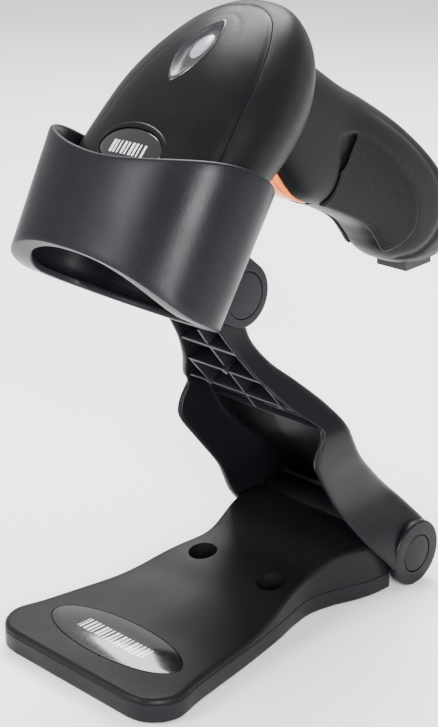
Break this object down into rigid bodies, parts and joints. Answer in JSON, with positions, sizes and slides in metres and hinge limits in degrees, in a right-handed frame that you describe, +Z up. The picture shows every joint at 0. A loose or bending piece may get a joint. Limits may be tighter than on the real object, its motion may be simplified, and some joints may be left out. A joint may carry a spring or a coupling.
{
  "type": "handheld barcode scanner with stand",
  "caption": "Pistol-grip barcode scanner resting nose down in the oval cup of a hinged counter stand with a flared base.",
  "frame": {"origin": "on the counter, under the middle of the base's rubber pad, 70 mm behind the base's front edge", "axes": "+Y from the base's front edge to its hinge, +X to the right seen from the front, +Z up"},
  "size_m": [0.0842, 0.1895, 0.2152],
  "materials": {
    "base_abs": "moulded ABS with a fine texture",
    "arm_abs": "moulded ABS with a fine texture",
    "holder_abs": "moulded ABS with a fine satin texture",
    "scanner_cover_pc_abs": "moulded PC/ABS, satin",
    "scanner_body_pc_abs": "moulded PC/ABS, fine texture",
    "grip_elastomer": "overmoulded elastomer, ribbed",
    "trigger_abs": "moulded ABS, orange",
    "badge_gloss": "glossy black with a pale printed bar pattern",
    "bezel_gloss": "polished black",
    "indicator_diffuser": "translucent grey diffuser",
    "exit_window_acrylic": "dark red acrylic",
    "lens_glass": "coated glass",
    "imager_black": "black moulding",
    "led_epoxy": "clear epoxy",
    "aimer_green": "green epoxy",
    "solder_mask": "green solder mask",
    "chip_epoxy": "black moulding compound",
    "steel": "drawn steel",
    "zinc_screw": "zinc plated",
    "nylon": "natural nylon",
    "nonslip_rubber": "matt rubber"
  },
  "bodies": {
    "stand_base": {"base_tray": "base_abs", "base_cover": "base_abs", "base_weight_plate": "steel", "base_nonslip_pad": "nonslip_rubber", "base_badge": "badge_gloss", "base_screw_front_left": "zinc_screw", "base_screw_front_right": "zinc_screw", "base_screw_rear_left": "zinc_screw", "base_screw_rear_right": "zinc_screw", "lower_hinge_pin": "steel", "lower_friction_washer_left": "nylon", "lower_friction_washer_right": "nylon"},
    "arm": {"arm_shell": "arm_abs", "lower_hinge_cap_left": "arm_abs", "lower_hinge_cap_right": "arm_abs", "upper_hinge_pin": "steel", "upper_friction_washer_left": "nylon", "upper_friction_washer_right": "nylon"},
    "holder": {"holder_cup": "holder_abs", "upper_hinge_cap_left": "holder_abs", "upper_hinge_cap_right": "holder_abs"},
    "scanner": {"scanner_top_cover": "scanner_cover_pc_abs", "scanner_body_left": "scanner_body_pc_abs", "scanner_body_right": "scanner_body_pc_abs", "grip_panel_left": "grip_elastomer", "grip_panel_right": "grip_elastomer", "scanner_badge": "badge_gloss", "indicator_bezel": "bezel_gloss", "indicator_lens": "indicator_diffuser", "exit_window": "exit_window_acrylic", "imager_lens": "lens_glass", "imager_bracket": "imager_black", "imager_lens_barrel": "imager_black", "illumination_led_left": "led_epoxy", "illumination_led_right": "led_epoxy", "indicator_led": "led_epoxy", "aimer_led": "aimer_green", "main_board": "solder_mask", "handle_board": "solder_mask", "image_sensor_board": "solder_mask", "decoder_chip": "chip_epoxy", "buzzer": "chip_epoxy", "trigger_switch": "chip_epoxy", "cable_socket": "chip_epoxy", "trigger_pin": "steel", "trigger_spring": "steel", "switch_plunger": "nylon"},
    "trigger": {"trigger_button": "trigger_abs"}
  },
  "joints": [
    {"name": "lower_hinge", "type": "hinge", "parent": "stand_base", "child": "arm", "pos_m": [0, 0.0665, 0.013], "axis": [1, 0, 0], "range_deg": [-30, 12]},
    {"name": "upper_hinge", "type": "hinge", "parent": "arm", "child": "holder", "pos_m": [0, -0.0017, 0.1235], "axis": [1, 0, 0], "range_deg": [-30, 5]},
    {"name": "scanner_lift", "type": "slide", "parent": "holder", "child": "scanner", "axis": [0, 0.742, 0.6704], "range_m": [0, 0.12]},
    {"name": "trigger_pivot", "type": "hinge", "parent": "scanner", "child": "trigger", "pos_m": [0, 0.02357, 0.16234], "axis": [1, 0, 0], "range_deg": [0, 6], "stiffness_Nm_per_rad": 0.25, "springref_deg": -4.58}
  ]
}
